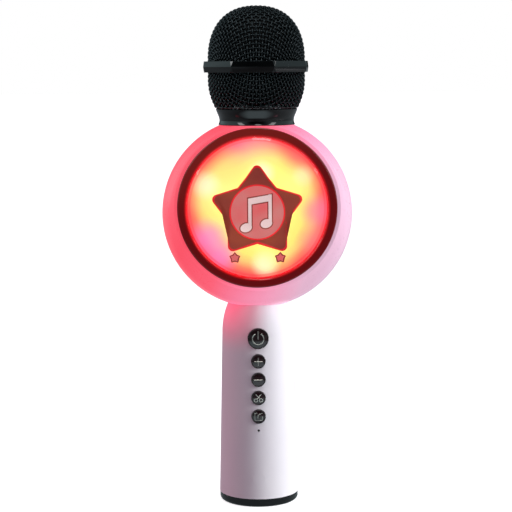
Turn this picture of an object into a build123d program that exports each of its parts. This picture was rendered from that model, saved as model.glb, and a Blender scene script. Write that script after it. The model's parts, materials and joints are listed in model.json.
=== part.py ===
from build123d import *
import os
from math import cos, radians, sin, sqrt

# Toy karaoke microphone: a wire grille head on a glossy collar, a round light-up speaker housing, and a
# tapered grip with five buttons and a glossy end cap.
# Millimetres. The origin is the centre of the flat base, +Z runs up to the grille, and the lit face and
# the buttons look along -Y. "Depth" is the distance from the middle plane towards the face.

# ---- driving dimensions -------------------------------------------------------------------------
# Head
HEAD_TOP_Z = 256.6
BAND_Z = 225.6
BAND_HEIGHT = 5.6
BAND_SIDES = 8
BAND_CORNER_R = 28.4
BAND_CORNER_CUT_R = 27.7
BAND_TURN = 18.5
BAND_TAPER = 6.0
MESH_R = 24.9
MESH_WALL = 0.9
DOME_POWER = 2.35
BASKET_CURVE_Z = 219.0
BASKET_FOOT_R = 21.2
FOAM_GAP = 0.3
FOAM_WALL = 3.0
BAND_TONGUE = 0.4
BAND_CREST = 0.6
RING_BORE_R = 16.4
RING_SLEEVE = 5.0
RING_FLANGE = 1.2
CAPSULE_R = 4.85
CAPSULE_LOW_Z = 228.0
CAPSULE_TOP_Z = 234.7
BOOT_R = 6.4
BOOT_TOP_Z = 233.6
POST_R = 4.0
POST_TOP_Z = 225.0
POST_PLATE_R = 14.5
POST_PLATE_WALL = 2.0
POST_HOLE_R = 2.6
POST_HOLE_REACH = 10.5
LEAD_BORE_R = 1.6

# Collar
COLLAR_TOP_Z = 204.6
COLLAR_TOP_R = 20.9
COLLAR_WAIST_R = 19.1
COLLAR_FOOT_R = 19.6
COLLAR_BORE_R = 18.2
COLLAR_MID_R = 20.0
COLLAR_LIP = 0.5
COLLAR_WAIST_RISE = 2.6
COLLAR_FLOOR = 3.0
COLLAR_STUB_R = 9.0
COLLAR_STUB_FLANGE_R = 12.5
COLLAR_STUB_FLANGE = 2.5
COLLAR_STUB_BORE_R = 5.0

# Round housing
NECK_Z = 196.1
DISC_Z = 150.9
DISC_R = 48.95
RIM_HALF_DEPTH = 24.0
RIM_ROUNDING = 12.0
FACE_DEPTH = 21.8
FACE_RISE = 4.1
FACE_RISE_START = 15.8
WALL = 2.2
LEDGE_DEPTH = 19.8
LEDGE_WALL = 2.0

# Lit face
BEZEL_R = 40.35
BEZEL_BORE_R = 35.7
BEZEL_DEPTH = 22.6
LENS_FLAT_R = 34.4
RIM_DROP = 0.2
LENS_CHAMFER = 0.6
WINDOW_R = 33.4
FILM_WALL = 0.3
EDGE_FILLET = 0.7
DIFFUSER_WALL = 2.5
LED_RINGS = ((12, 27.0), (6, 13.5))
LED_SIDE = 3.5
LED_LENGTH = 2.8
LED_HEIGHT = 1.9

# Grip
GRIP_FOOT_Z = 4.5
GRIP_FOOT_R = 20.55
GRIP_SHOULDER_Z = 89.0
GRIP_SHOULDER_R = 18.6
GRIP_SHOULDER_ARC = 38.0
GRIP_NECK_Z = 105.8
GRIP_NECK_TOP_Z = 112.6
NECK_FLANGE_R = 17.4
NECK_FLANGE_Z = 110.2
CAP_ROUNDING = 2.0
CAP_FLOOR = 2.6
PORT_SLOT_WIDTH = 9.1
PORT_SLOT_HEIGHT = 3.4

# Buttons: name, height above the base, cap radius
BUTTONS = (
    ("power", 88.0, 5.35),
    ("plus", 76.3, 3.65),
    ("minus", 66.8, 3.65),
    ("echo", 57.4, 3.65),
    ("mode", 47.8, 3.65),
)
STATUS_LIGHT_Z = 40.4
LIGHT_PIPE_R = 0.6
BUTTON_CLEARANCE = 0.1
BUTTON_FLANGE_GAP = 0.12
BUTTON_DOME_SHARE = 0.12
BUTTON_RISE = 1.2
BUTTON_FLANGE = 1.0
BUTTON_FLANGE_WALL = 0.8

# Electronics
BOARD_FRONT_DEPTH = 9.6
BOARD_WALL = 1.6
BOARD_HALF_WIDTH = 11.0
BOARD_LOW_Z = 33.0
BOARD_HIGH_Z = 94.4
SWITCH_SIDE = 6.0
SWITCH_HEIGHT = 3.4
STEM_R = 1.7
STEM_IN_SWITCH = 0.9
STEM_WELL = 1.8
BOARD_SCREW_X = 8.2
BOARD_SCREW_HEIGHTS = (36.0, 81.4)
BOARD_SCREW_R = 0.75
BOARD_SCREW_HEAD_R = 1.7
BOARD_SCREW_HEAD = 1.1
BOARD_POST_R = 1.9
BOARD_SCREW_TIP_DEPTH = 12.5
# Chips: width, length, height, place across, height above the base
CHIPS = (
    (7.0, 7.0, 1.0, -5.5, 52.0),
    (9.8, 6.0, 1.6, 4.4, 60.0),
    (5.0, 4.0, 1.2, -6.5, 68.0),
    (12.0, 9.0, 1.2, 3.2, 74.0),
)
CAPACITORS = ((-9.0, 60.0), (9.0, 50.0), (9.2, 67.0))
CAPACITOR_R = 1.7
CAPACITOR_HEIGHT = 4.0
SOCKET_SIDE = 4.0
SOCKET_HEIGHT = 2.6
CELL_R = 9.2
CELL_LENGTH = 65.0
CELL_LOW_Z = 23.0
CELL_Y = 4.0
CELL_CAP_R = 2.8
CELL_CAP = 1.0
TRAY_GAP = 0.15
TRAY_WALL = 1.35
TRAY_END = 1.2
CONTACT_WIDTH = 8.0
CONTACT_LENGTH = 6.0
CONTACT_WALL = 1.14
PORT_WIDTH = 8.94
PORT_HEIGHT = 3.26
PORT_WALL = 0.3
PORT_LOW_Z = 0.6
PORT_TOP_Z = 7.9
PORT_TONGUE_WIDTH = 6.6
PORT_TONGUE = 0.7
CHARGE_BOARD_WIDTH = 16.0
CHARGE_BOARD_WALL = 1.2
CHARGE_BOARD_LOW_Z = 2.7
CHARGE_BOARD_TOP_Z = 9.4
WIRE_R = 0.5
WIRE_BEND = 4.0
WIRE_SOCKETS = (-8.0, -3.9, 6.0)
SPEAKER_R = 26.0
TRIM_R = 32.0
TRIM_BORE_R = 29.0
TRIM_SEAT = 1.2
FLANGE_BORE_R = 21.0
FLANGE_WALL = 1.2
BASKET_TOP_R = 22.4
BASKET_BACK_R = 14.0
BASKET_HUB_R = 5.2
BASKET_BACK_DEPTH = 9.0
BASKET_WALL = 0.8
BASKET_WINDOW_R = 4.0
BASKET_WINDOW_REACH = 17.5
MAGNET_R = 13.0
MAGNET_FRONT_DEPTH = 2.4
CONE_R = 17.5
CONE_WALL = 0.5
DUST_CAP_R = 5.0
CONE_DEPTH = 11.4
SURROUND_R = 20.9
SURROUND_WALL = 0.6
GASKET_BORE_R = 23.2
GASKET_WALL = 0.96
GRILLE_HOLE_R = 1.0
GRILLE_HOLE_PITCH = 4.0
GRILLE_RINGS = 5
LED_BOARD_DEPTH = 7.8
SPEAKER_GAP = 0.2
SPEAKER_FENCE = 1.6
SPEAKER_FENCE_HEIGHT = 4.2
SPEAKER_PORT_R = 23.0

# Fasteners
SHELL_SCREW_R = 1.1
SHELL_SCREW_HEAD_R = 1.9
SHELL_SCREW_HEAD = 1.4
SHELL_BOSS_R = 2.9
SHELL_SEAT_DEPTH = 8.0
SHELL_SCREW_REACH = 39.5
SHELL_SCREW_ANGLES = (25, 155, 225, 315)
SHELL_SCREW_LENGTH = 16.0
SCREW_THREAD_BITE = 0.2
SCREW_CLEARANCE = 0.2
HEAD_CLEARANCE = 0.15
CROSS_SLOT = 0.5
CROSS_REACH = 2.6
GRIP_BOSS_R = 3.2
GRIP_SCREW_HEIGHTS = (15.0, 99.0)
GRIP_SEAT_DEPTH = 9.0
BOSS_INSET = 0.5
CAP_SCREW_X = 9.0
CAP_SCREW_Y = 12.6
CAP_SPIGOT_Z = 9.5
CAP_SPIGOT_WALL = 1.8
CAP_BOSS_R = 3.0
CAP_BOSS_HEIGHT = 9.4
CAP_SEAT_Z = 2.0
CAP_SCREW_LENGTH = 15.0

CONTACT_GAP = 0.05
SEAT_GAP = 0.02
BIG = 400.0
UP = (Align.CENTER, Align.CENTER, Align.MIN)


# ---- shared helpers -----------------------------------------------------------------------------
def rod(radius, low, high, x=0.0, y=0.0):
    """An upright cylinder between two heights."""
    return Pos(x, y, low) * Cylinder(radius, high - low, align=UP)


def tube(outer, inner, low, high, x=0.0, y=0.0):
    """An upright ring between two heights."""
    return rod(outer, low, high, x, y) - rod(inner, low, high, x, y)


def facing(x=0.0, z=0.0):
    """The place of a piece built along depth: its own +Z points out of the face."""
    return Pos(x, 0, z) * Rot(90, 0, 0)


def disc(radius, low, high, x=0.0, z=DISC_Z):
    """A cylinder along depth, between two depths."""
    return facing(x, z) * Pos(0, 0, low) * Cylinder(radius, high - low, align=UP)


def washer(outer, inner, low, high, x=0.0, z=DISC_Z):
    """A ring along depth, between two depths."""
    return disc(outer, low, high, x, z) - disc(inner, low, high, x, z)


def block(width, near, far, low, high, x=0.0):
    """A box between two depths and two heights."""
    return Pos(x, -(near + far) / 2, (low + high) / 2) * Box(width, far - near, high - low)


def turned(profile):
    """A closed outline in the XZ plane, turned about the Z axis."""
    return revolve(make_face(profile), Axis.Z)


def front_half(solid):
    return solid & Pos(0, -BIG / 2, 0) * Box(BIG, BIG, 2 * BIG)


def rear_half(solid):
    return solid & Pos(0, BIG / 2, 0) * Box(BIG, BIG, 2 * BIG)


def below(solid, height):
    return solid & Pos(0, 0, height - BIG) * Box(BIG, BIG, 2 * BIG)


def around(count, radius, start=0.0):
    """Points spread evenly on a circle."""
    for step in range(count):
        angle = radians(start + 360 * step / count)
        yield radius * cos(angle), radius * sin(angle)


def shell_screw_places():
    for angle in SHELL_SCREW_ANGLES:
        yield SHELL_SCREW_REACH * cos(radians(angle)), DISC_Z + SHELL_SCREW_REACH * sin(radians(angle))


# ---- head ---------------------------------------------------------------------------------------
def dome_outline(offset):
    """The dome's section, a flattened half oval, moved in from the outer face by offset."""
    base = BAND_Z + BAND_HEIGHT / 2
    rise = HEAD_TOP_Z - base - offset
    reach = MESH_R - offset
    points = []
    steps = 12
    for step in range(steps + 1):
        angle = radians(90 * step / steps)
        across = reach * sin(angle) ** (2 / DOME_POWER)
        points.append((across, 0, base + rise * cos(angle) ** (2 / DOME_POWER)))
    return Spline(*points, tangents=((1, 0, 0), (0, 0, -1)))


def dome_shell(outer, inner, foot):
    """A closed dome wall between two offsets, down to a foot height."""
    outside = dome_outline(outer)
    inside = dome_outline(inner)
    rim = Polyline(outside @ 1, (MESH_R - outer, 0, foot), (MESH_R - inner, 0, foot), inside @ 1)
    return turned(outside + rim + inside + Line(inside @ 0, outside @ 0))


def basket_outline(offset, top, foot):
    """The basket's section: straight under the band, then curving in to its foot."""
    start = (MESH_R - offset, 0, BASKET_CURVE_Z)
    curve = TangentArc(start, (BASKET_FOOT_R - offset, 0, foot), tangent=(0, 0, -1))
    return Line((MESH_R - offset, 0, top), start) + curve


def basket_shell(outer, inner, top, foot):
    outside = basket_outline(outer, top, foot)
    inside = basket_outline(inner, top, foot)
    outline = outside + Line(outside @ 1, inside @ 1) + inside + Line(inside @ 0, outside @ 0)
    return turned(outline)


def grille_dome():
    return dome_shell(0, MESH_WALL, BAND_Z + BAND_TONGUE + CONTACT_GAP)


def grille_basket():
    return basket_shell(0, MESH_WALL, BAND_Z - BAND_TONGUE - CONTACT_GAP, COLLAR_TOP_Z + CONTACT_GAP)


def grille_band():
    """The anti-roll ring: eight flat sides with a faint ridge and clipped corners, and a tongue inside
    between the two mesh cups."""
    half = BAND_HEIGHT / 2
    clear = BAND_CORNER_R + 1
    upper = extrude(RegularPolygon(BAND_CORNER_R, BAND_SIDES, rotation=BAND_TURN), half, taper=BAND_TAPER)
    clip = Polyline(
        (0, 0, -half),
        (BAND_CORNER_CUT_R, 0, -half),
        (BAND_CORNER_R, 0, -BAND_CREST),
        (clear, 0, -BAND_CREST),
        (clear, 0, BAND_CREST),
        (BAND_CORNER_R, 0, BAND_CREST),
        (BAND_CORNER_CUT_R, 0, half),
        (0, 0, half),
        close=True,
    )
    band = (upper + mirror(upper, Plane.XY)) & turned(clip)
    band -= rod(MESH_R + CONTACT_GAP, BAND_TONGUE, half) + rod(MESH_R + CONTACT_GAP, -half, -BAND_TONGUE)
    return Pos(0, 0, BAND_Z) * (band - rod(MESH_R - MESH_WALL, -half, half))


def thread_ring():
    """The metal ring at the basket's foot, which screws into the collar."""
    top = COLLAR_TOP_Z + RING_FLANGE
    sleeve = tube(COLLAR_BORE_R - CONTACT_GAP, RING_BORE_R, COLLAR_TOP_Z - RING_SLEEVE, top)
    flange = tube(BASKET_FOOT_R - MESH_WALL - CONTACT_GAP, RING_BORE_R, COLLAR_TOP_Z + CONTACT_GAP, top)
    return sleeve + flange


def foam_liner():
    """The windscreen foam inside both mesh cups."""
    near = MESH_WALL + FOAM_GAP
    far = near + FOAM_WALL
    top = dome_shell(near, far, BAND_Z)
    bottom = basket_shell(near, far, BAND_Z, COLLAR_TOP_Z + RING_FLANGE + FOAM_GAP)
    return top + bottom


def mic_capsule():
    return rod(CAPSULE_R, CAPSULE_LOW_Z, CAPSULE_TOP_Z)


def capsule_boot():
    """The rubber cup that holds the capsule off the post."""
    boot = rod(BOOT_R, POST_TOP_Z, BOOT_TOP_Z) - rod(CAPSULE_R + CONTACT_GAP, CAPSULE_LOW_Z, BOOT_TOP_Z)
    return boot - rod(LEAD_BORE_R, POST_TOP_Z, CAPSULE_LOW_Z)


def capsule_post():
    """The plastic post and its foot plate, screwed down inside the collar."""
    low = NECK_Z + COLLAR_FLOOR + 2 * CONTACT_GAP
    top = low + POST_PLATE_WALL
    plate = rod(POST_PLATE_R, low, top)
    for x, y in around(3, POST_HOLE_REACH):
        plate -= rod(POST_HOLE_R, low, top, x, y)
    post = plate + rod(POST_R, top, POST_TOP_Z - CONTACT_GAP)
    return post - rod(LEAD_BORE_R, low, POST_TOP_Z)


def collar():
    """The waisted glossy neck: a bore for the head above, a stub trapped in the housing below."""
    waist_z = NECK_Z + COLLAR_WAIST_RISE
    seat_z = NECK_Z + CONTACT_GAP
    stub_z = NECK_Z - WALL - 2 * CONTACT_GAP
    sweep = Spline(
        (COLLAR_TOP_R, 0, COLLAR_TOP_Z - COLLAR_LIP),
        (COLLAR_MID_R, 0, (COLLAR_TOP_Z + waist_z) / 2),
        (COLLAR_WAIST_R, 0, waist_z),
        (COLLAR_FOOT_R, 0, seat_z + 0.35),
    )
    outline = sweep + Polyline(
        sweep @ 1,
        (COLLAR_FOOT_R, 0, seat_z),
        (COLLAR_STUB_R, 0, seat_z),
        (COLLAR_STUB_R, 0, stub_z),
        (COLLAR_STUB_FLANGE_R, 0, stub_z),
        (COLLAR_STUB_FLANGE_R, 0, stub_z - COLLAR_STUB_FLANGE),
        (COLLAR_STUB_BORE_R, 0, stub_z - COLLAR_STUB_FLANGE),
        (COLLAR_STUB_BORE_R, 0, NECK_Z + COLLAR_FLOOR),
        (COLLAR_BORE_R, 0, NECK_Z + COLLAR_FLOOR),
        (COLLAR_BORE_R, 0, COLLAR_TOP_Z),
        (COLLAR_TOP_R - COLLAR_LIP, 0, COLLAR_TOP_Z),
        sweep @ 0,
    )
    return turned(outline)


# ---- round housing ------------------------------------------------------------------------------
def housing_radius(depth):
    return DISC_R - RIM_ROUNDING * (1 - sqrt(1 - (depth / RIM_HALF_DEPTH) ** 2))


def face_rise(depth):
    """How far the section's centre has moved up towards the face's centre at this depth."""
    share = min(max((depth - FACE_RISE_START) / (FACE_DEPTH - FACE_RISE_START), 0), 1)
    return FACE_RISE * share * share * (3 - 2 * share)


def housing_form(depths, inset, rise=True):
    """A solid through round sections, from the middle plane towards the face."""
    sections = []
    for depth in depths:
        lift = face_rise(depth) if rise else 0
        sections.append(Pos(0, lift, depth) * Circle(housing_radius(depth) - inset))
    return facing(z=DISC_Z) * loft(sections)


def depths_to(last):
    """Section depths, closer together towards the rounded edge."""
    count = 8
    return [last * (1 - (1 - step / count) ** 1.6) for step in range(count + 1)]


def neck_hole():
    return rod(COLLAR_STUB_R + CONTACT_GAP, NECK_Z - 4 * WALL, NECK_Z + 1)


def grip_socket():
    """The bore for the grip's neck, and the rib inside the housing that carries its flange."""
    rib = rod(NECK_FLANGE_R + 1, DISC_Z - DISC_R, NECK_FLANGE_Z - CONTACT_GAP)
    bore = turned(grip_profile(-CONTACT_GAP, GRIP_NECK_TOP_Z + 2))
    return rib, bore


def shell_rods(radius, near, far):
    """Cylinders at the four housing screws: posts, bores or head seats."""
    return [disc(radius, near, far, x, z) for x, z in shell_screw_places()]


def disc_front_shell():
    outside = below(housing_form(depths_to(FACE_DEPTH), 0), NECK_Z)
    cavity_depth = LEDGE_DEPTH - LEDGE_WALL
    cavity = below(housing_form(depths_to(cavity_depth), WALL), NECK_Z - WALL)
    rib, bore = grip_socket()
    hollow = cavity - rib - shell_rods(SHELL_BOSS_R, -1, cavity_depth + 1)
    shell = outside - hollow
    shell -= disc(BEZEL_R + CONTACT_GAP, LEDGE_DEPTH, BEZEL_DEPTH, z=DISC_Z + FACE_RISE)
    shell -= disc(WINDOW_R, cavity_depth - 1, LEDGE_DEPTH, z=DISC_Z + FACE_RISE)
    shell -= neck_hole()
    shell -= bore
    bite = SHELL_SCREW_LENGTH - SHELL_SEAT_DEPTH + 2
    return shell - shell_rods(SHELL_SCREW_R - SCREW_THREAD_BITE, -1, bite)


def disc_rear_shell():
    outside = below(mirror(housing_form(depths_to(FACE_DEPTH), 0, rise=False), Plane.XZ), NECK_Z)
    cavity_depth = FACE_DEPTH - WALL
    cavity = below(mirror(housing_form(depths_to(cavity_depth), WALL, rise=False), Plane.XZ), NECK_Z - WALL)
    rib, bore = grip_socket()
    hollow = cavity - rib - shell_rods(SHELL_BOSS_R, -cavity_depth - 1, 1)
    fence = SPEAKER_R + SPEAKER_GAP
    hollow -= washer(fence + SPEAKER_FENCE, fence, -cavity_depth - 1, -cavity_depth + SPEAKER_FENCE_HEIGHT)
    shell = outside - hollow
    shell -= disc(SPEAKER_PORT_R, -FACE_DEPTH - 1, -cavity_depth + 1)
    shell -= disc(TRIM_R + CONTACT_GAP, -FACE_DEPTH - 1, -FACE_DEPTH + TRIM_SEAT)
    shell -= neck_hole()
    shell -= bore
    shell -= shell_rods(SHELL_SCREW_R + SCREW_CLEARANCE, -FACE_DEPTH, 1)
    return shell - shell_rods(SHELL_SCREW_HEAD_R + HEAD_CLEARANCE, -FACE_DEPTH - 1, -SHELL_SEAT_DEPTH)


def cross_screw(length):
    """A cross-head screw with its axis on +Z: the head stands on the seat, the shank goes down."""
    lift = SEAT_GAP / 2
    head = rod(SHELL_SCREW_HEAD_R, lift, SHELL_SCREW_HEAD)
    shank = rod(SHELL_SCREW_R - SCREW_THREAD_BITE - lift, -length, lift)
    slot = Pos(0, 0, SHELL_SCREW_HEAD) * Box(CROSS_REACH, CROSS_SLOT, SHELL_SCREW_HEAD)
    return head + shank - slot - Rot(0, 0, 90) * slot


def disc_screws():
    screws = []
    for x, z in shell_screw_places():
        screws.append(Pos(x, SHELL_SEAT_DEPTH, z) * Rot(-90, 0, 0) * cross_screw(SHELL_SCREW_LENGTH))
    return Compound(screws)


def bezel_ring():
    ring = washer(BEZEL_R, BEZEL_BORE_R, LEDGE_DEPTH, BEZEL_DEPTH, z=DISC_Z + FACE_RISE)
    rim = ring.faces().sort_by(Axis.Y)[0].edges()
    return fillet(rim, EDGE_FILLET)


def face_lens():
    """The clear window over the film: a chamfered disc just below the bezel's face."""
    seat = LEDGE_DEPTH + FILM_WALL + 2 * SEAT_GAP
    base = disc(BEZEL_BORE_R - CONTACT_GAP, seat, BEZEL_DEPTH - RIM_DROP, z=DISC_Z + FACE_RISE)
    rim = base.faces().sort_by(Axis.Y)[0].edges()
    return chamfer(rim, LENS_CHAMFER, BEZEL_BORE_R - CONTACT_GAP - LENS_FLAT_R)


def emblem_film():
    """The printed film, laid on the housing's ledge under the lens."""
    near = LEDGE_DEPTH + SEAT_GAP
    return disc(BEZEL_BORE_R - 2 * CONTACT_GAP, near, near + FILM_WALL, z=DISC_Z + FACE_RISE)


def light_diffuser():
    top = LEDGE_DEPTH - SEAT_GAP
    return disc(WINDOW_R - 4 * CONTACT_GAP, top - DIFFUSER_WALL, top, z=DISC_Z + FACE_RISE)


def reflector_ring():
    top = LEDGE_DEPTH - LEDGE_WALL - SEAT_GAP
    return washer(WINDOW_R + 1.0, WINDOW_R, LED_BOARD_DEPTH, top, z=DISC_Z + FACE_RISE)


def led_board():
    near = LED_BOARD_DEPTH - BOARD_WALL
    board = disc(WINDOW_R + 0.9, near, LED_BOARD_DEPTH - SEAT_GAP, z=DISC_Z + FACE_RISE)
    return board - disc(2.5, 0, LED_BOARD_DEPTH, z=DISC_Z + FACE_RISE)


def led_chips():
    chips = []
    for count, radius in LED_RINGS:
        for x, z in around(count, radius):
            low = DISC_Z + FACE_RISE + z - LED_LENGTH / 2
            top = LED_BOARD_DEPTH + LED_HEIGHT
            chips.append(block(LED_SIDE, LED_BOARD_DEPTH, top, low, low + LED_LENGTH, x))
    return Compound(chips)


# ---- speaker ------------------------------------------------------------------------------------
SPEAKER_FRONT = FACE_DEPTH - WALL - 1.0


def speaker_frame():
    """The stamped basket: a flange, a sloping wall with four windows, and a back plate."""
    seat = -SPEAKER_FRONT + FLANGE_WALL
    back = -BASKET_BACK_DEPTH
    inner = BASKET_TOP_R - 1.0
    flange = washer(SPEAKER_R, FLANGE_BORE_R, -SPEAKER_FRONT, seat)
    slope = Polyline(
        (BASKET_TOP_R, seat),
        (BASKET_TOP_R, seat + 1.8),
        (BASKET_BACK_R, back),
        (BASKET_HUB_R, back),
        (BASKET_HUB_R, back - BASKET_WALL),
        (BASKET_BACK_R - 0.4, back - BASKET_WALL),
        (inner, seat + 1.4),
        (inner, seat),
        close=True,
    )
    basket = facing(z=DISC_Z) * revolve(Plane.XZ * make_face(slope), Axis.Z)
    for x, z in around(4, BASKET_WINDOW_REACH, 45):
        basket -= disc(BASKET_WINDOW_R, seat + 3, back + 1, x, DISC_Z + z)
    return flange + basket


def speaker_magnet():
    return disc(MAGNET_R, -BASKET_BACK_DEPTH + 0.1, -MAGNET_FRONT_DEPTH)


def speaker_cone():
    """The paper cone with its dust cap."""
    slope = Polyline(
        (0, -CONE_DEPTH),
        (DUST_CAP_R, -CONE_DEPTH - 0.8),
        (CONE_R, -SPEAKER_FRONT - 0.1),
        (CONE_R, -SPEAKER_FRONT + CONE_WALL),
        (DUST_CAP_R - 0.4, -CONE_DEPTH),
        (0, -CONE_DEPTH + 0.6),
        close=True,
    )
    return facing(z=DISC_Z) * revolve(Plane.XZ * make_face(slope), Axis.Z)


def speaker_surround():
    """The soft roll between the cone and the flange."""
    return washer(SURROUND_R, CONE_R + 0.1, -SPEAKER_FRONT, -SPEAKER_FRONT + SURROUND_WALL)


def speaker_gasket():
    top = -SPEAKER_FRONT - SEAT_GAP
    return washer(SPEAKER_R, GASKET_BORE_R, top - GASKET_WALL, top)


def speaker_grille():
    """The perforated plate over the speaker, at the back of the housing."""
    plate = disc(TRIM_BORE_R, -FACE_DEPTH + RIM_DROP, -FACE_DEPTH + TRIM_SEAT)
    holes = [disc(GRILLE_HOLE_R, -FACE_DEPTH, -FACE_DEPTH + 2, 0, DISC_Z)]
    for ring in range(1, GRILLE_RINGS + 1):
        for x, z in around(6 * ring, GRILLE_HOLE_PITCH * ring):
            holes.append(disc(GRILLE_HOLE_R, -FACE_DEPTH, -FACE_DEPTH + 2, x, DISC_Z + z))
    return plate - holes


def speaker_trim():
    """The glossy ring around the speaker grille."""
    ring = washer(TRIM_R, TRIM_BORE_R + CONTACT_GAP, -BEZEL_DEPTH, -FACE_DEPTH + TRIM_SEAT)
    rim = ring.faces().sort_by(Axis.Y)[-1].edges()
    return fillet(rim, EDGE_FILLET)


# ---- grip ---------------------------------------------------------------------------------------
def shoulder_radius(height):
    """The grip's radius where its top curves in under the round housing."""
    return GRIP_SHOULDER_R - GRIP_SHOULDER_ARC + sqrt(GRIP_SHOULDER_ARC**2 - (height - GRIP_SHOULDER_Z) ** 2)


def grip_radius(height):
    share = (height - GRIP_FOOT_Z) / (GRIP_SHOULDER_Z - GRIP_FOOT_Z)
    return GRIP_FOOT_R + (GRIP_SHOULDER_R - GRIP_FOOT_R) * share


def grip_profile(inset, top):
    """The grip's section from its foot to the given height, moved in by inset."""
    half_way = (GRIP_SHOULDER_Z + GRIP_NECK_Z) / 2
    neck = shoulder_radius(GRIP_NECK_Z) - inset
    shoulder = ThreePointArc(
        (GRIP_SHOULDER_R - inset, 0, GRIP_SHOULDER_Z),
        (shoulder_radius(half_way) - inset, 0, half_way),
        (neck, 0, GRIP_NECK_Z),
    )
    return shoulder + Polyline(
        shoulder @ 1,
        (neck, 0, top),
        (0, 0, top),
        (0, 0, GRIP_FOOT_Z),
        (GRIP_FOOT_R - inset, 0, GRIP_FOOT_Z),
        shoulder @ 0,
    )


def grip_boss(height):
    """A screw post across the grip, one half in each shell."""
    post = disc(GRIP_BOSS_R, -BIG / 8, BIG / 8, z=height)
    return post & turned(grip_profile(0, GRIP_NECK_TOP_Z))


def grip_body():
    body = turned(grip_profile(0, GRIP_NECK_TOP_Z)) - turned(grip_profile(WALL, GRIP_NECK_TOP_Z))
    neck_bore = shoulder_radius(GRIP_NECK_Z) - WALL
    body += tube(NECK_FLANGE_R, neck_bore, NECK_FLANGE_Z, GRIP_NECK_TOP_Z)
    return body


def board_screw_places():
    for x in (-BOARD_SCREW_X, BOARD_SCREW_X):
        for z in BOARD_SCREW_HEIGHTS:
            yield x, z


def grip_front_shell():
    shell = front_half(grip_body())
    for height in GRIP_SCREW_HEIGHTS:
        shell += front_half(grip_boss(height))
        shell -= disc(SHELL_SCREW_R - SCREW_THREAD_BITE, 0, GRIP_SEAT_DEPTH, z=height)
    for x, z in board_screw_places():
        post = disc(BOARD_POST_R, BOARD_FRONT_DEPTH + SEAT_GAP, GRIP_FOOT_R, x, z)
        shell += post & turned(grip_profile(BOSS_INSET, GRIP_NECK_TOP_Z))
        shell -= disc(BOARD_SCREW_R + CONTACT_GAP, BOARD_FRONT_DEPTH, BOARD_SCREW_TIP_DEPTH + 0.5, x, z)
    for _, height, radius in BUTTONS:
        shell -= disc(radius + BUTTON_CLEARANCE, BOARD_FRONT_DEPTH, 2 * GRIP_FOOT_R, z=height)
    return shell - disc(LIGHT_PIPE_R + CONTACT_GAP, BOARD_FRONT_DEPTH, 2 * GRIP_FOOT_R, z=STATUS_LIGHT_Z)


def grip_rear_shell():
    shell = rear_half(grip_body())
    for height in GRIP_SCREW_HEIGHTS:
        shell += rear_half(grip_boss(height))
        shell -= disc(SHELL_SCREW_R + SCREW_CLEARANCE, -GRIP_FOOT_R, 0, z=height)
        shell -= disc(SHELL_SCREW_HEAD_R + HEAD_CLEARANCE, -2 * GRIP_FOOT_R, -GRIP_SEAT_DEPTH, z=height)
    for x in (-CAP_SCREW_X, CAP_SCREW_X):
        low = CAP_SPIGOT_Z + 2 * CONTACT_GAP
        post = rod(CAP_BOSS_R, low, low + CAP_BOSS_HEIGHT, x, CAP_SCREW_Y)
        shell += post & turned(grip_profile(BOSS_INSET, GRIP_NECK_TOP_Z))
        bore = SHELL_SCREW_R - SCREW_THREAD_BITE
        shell -= rod(bore, CAP_SPIGOT_Z, low + CAP_BOSS_HEIGHT - 1, x, CAP_SCREW_Y)
    return shell


def grip_screws():
    screws = []
    for height in GRIP_SCREW_HEIGHTS:
        screws.append(Pos(0, GRIP_SEAT_DEPTH, height) * Rot(-90, 0, 0) * cross_screw(SHELL_SCREW_LENGTH))
    return Compound(screws)


def end_cap():
    """The glossy foot: a rounded base with a spigot inside the grip and a slot for the charging port."""
    base = rod(GRIP_FOOT_R - HEAD_CLEARANCE, 0, GRIP_FOOT_Z - SEAT_GAP)
    base = fillet(base.edges().sort_by(Axis.Z)[0], CAP_ROUNDING)
    spigot_r = grip_radius(CAP_SPIGOT_Z) - WALL - 2 * CONTACT_GAP
    cap = base + rod(spigot_r, 0.5, CAP_SPIGOT_Z) - rod(spigot_r - CAP_SPIGOT_WALL, CAP_FLOOR, CAP_SPIGOT_Z)
    for x in (-CAP_SCREW_X, CAP_SCREW_X):
        post = rod(CAP_BOSS_R - 0.2, CAP_SEAT_Z, CAP_SPIGOT_Z, x, CAP_SCREW_Y)
        cap += post & rod(spigot_r, 0, CAP_SPIGOT_Z)
        cap -= rod(SHELL_SCREW_R + SCREW_CLEARANCE, -1, CAP_SPIGOT_Z + 1, x, CAP_SCREW_Y)
        cap -= rod(SHELL_SCREW_HEAD_R + HEAD_CLEARANCE, -1, CAP_SEAT_Z, x, CAP_SCREW_Y)
    return cap - block(PORT_SLOT_WIDTH, -PORT_SLOT_HEIGHT / 2, PORT_SLOT_HEIGHT / 2, -1, GRIP_FOOT_Z - 0.5)


def cap_screws():
    screws = []
    for x in (-CAP_SCREW_X, CAP_SCREW_X):
        screws.append(Pos(x, CAP_SCREW_Y, CAP_SEAT_Z) * Rot(180, 0, 0) * cross_screw(CAP_SCREW_LENGTH))
    return Compound(screws)


# ---- buttons ------------------------------------------------------------------------------------
def flange_front(height, radius):
    """The depth of a button flange's front face: just clear of the shell's curved inside."""
    inside = grip_radius(height) - WALL
    return sqrt(inside**2 - (radius + BUTTON_FLANGE) ** 2) - BUTTON_FLANGE_GAP


def switch_top(height, radius):
    return flange_front(height, radius) - BUTTON_FLANGE_WALL


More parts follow.
